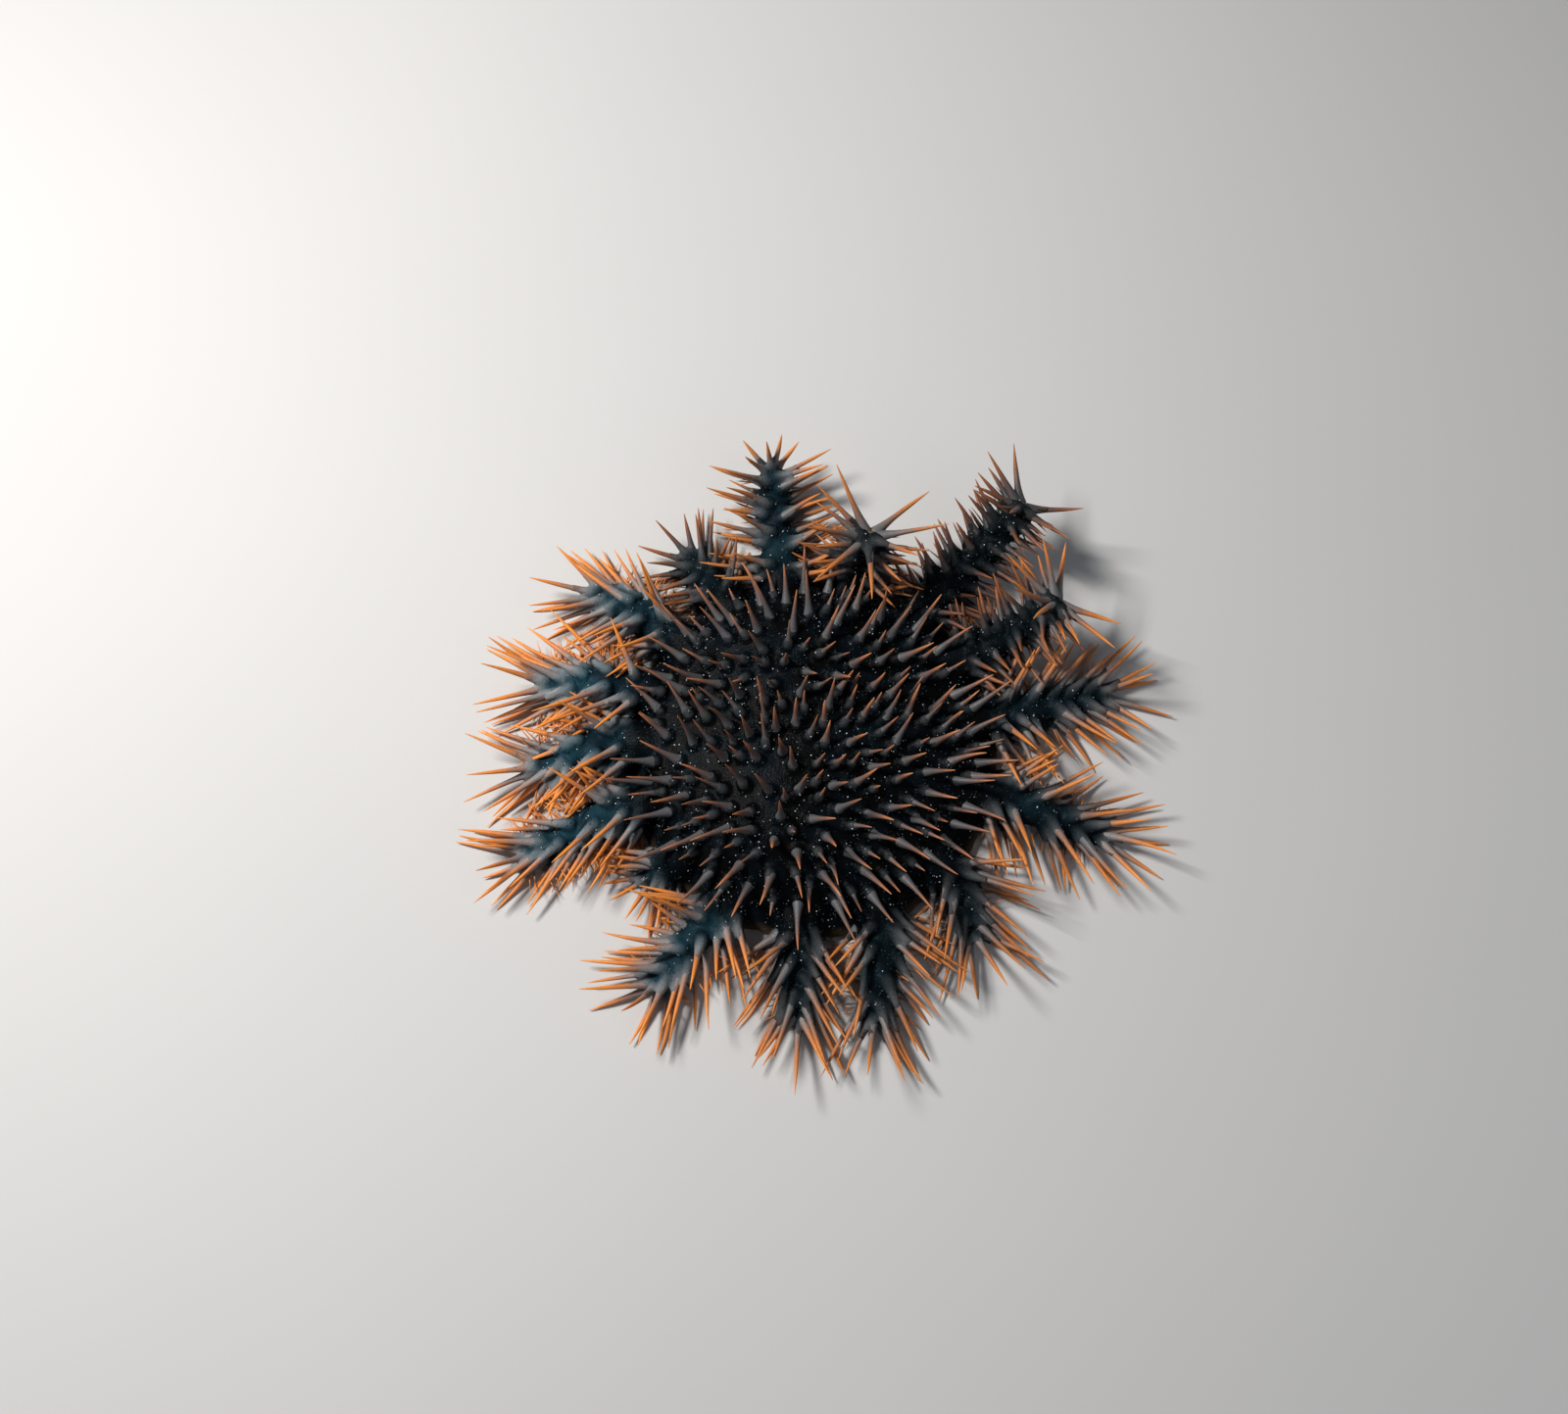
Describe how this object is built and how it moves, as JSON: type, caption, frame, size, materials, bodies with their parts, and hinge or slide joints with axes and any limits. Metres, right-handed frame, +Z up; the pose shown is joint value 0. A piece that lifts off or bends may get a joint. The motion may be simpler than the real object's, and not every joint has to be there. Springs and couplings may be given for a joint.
{
  "type": "crown of thorns starfish",
  "caption": "Still, life-size model of a many-armed spiny starfish lying on its underside, three arm tips curled up, disc and arms bristling with long tapered spines.",
  "frame": {"origin": "middle of the disc's flat underside, at the level the animal rests on", "axes": "+Z up out of the disc's upper side, +Y towards the long arm at the picture's top, +X towards the arms at its right"},
  "size_m": [0.3358, 0.3075, 0.0733],
  "materials": {
    "disc_skin": "damp matte",
    "arm_skin": "damp matte"
  },
  "bodies": {
    "root": {"disc": "disc_skin", "arm_01": "arm_skin", "arm_02": "arm_skin", "arm_03": "arm_skin", "arm_04": "arm_skin", "arm_05": "arm_skin", "arm_06": "arm_skin", "arm_07": "arm_skin", "arm_08": "arm_skin", "arm_09": "arm_skin", "arm_10": "arm_skin", "arm_11": "arm_skin", "arm_12": "arm_skin", "arm_13": "arm_skin", "arm_14": "arm_skin", "arm_15": "arm_skin", "arm_16": "arm_skin"}
  },
  "joints": []
}
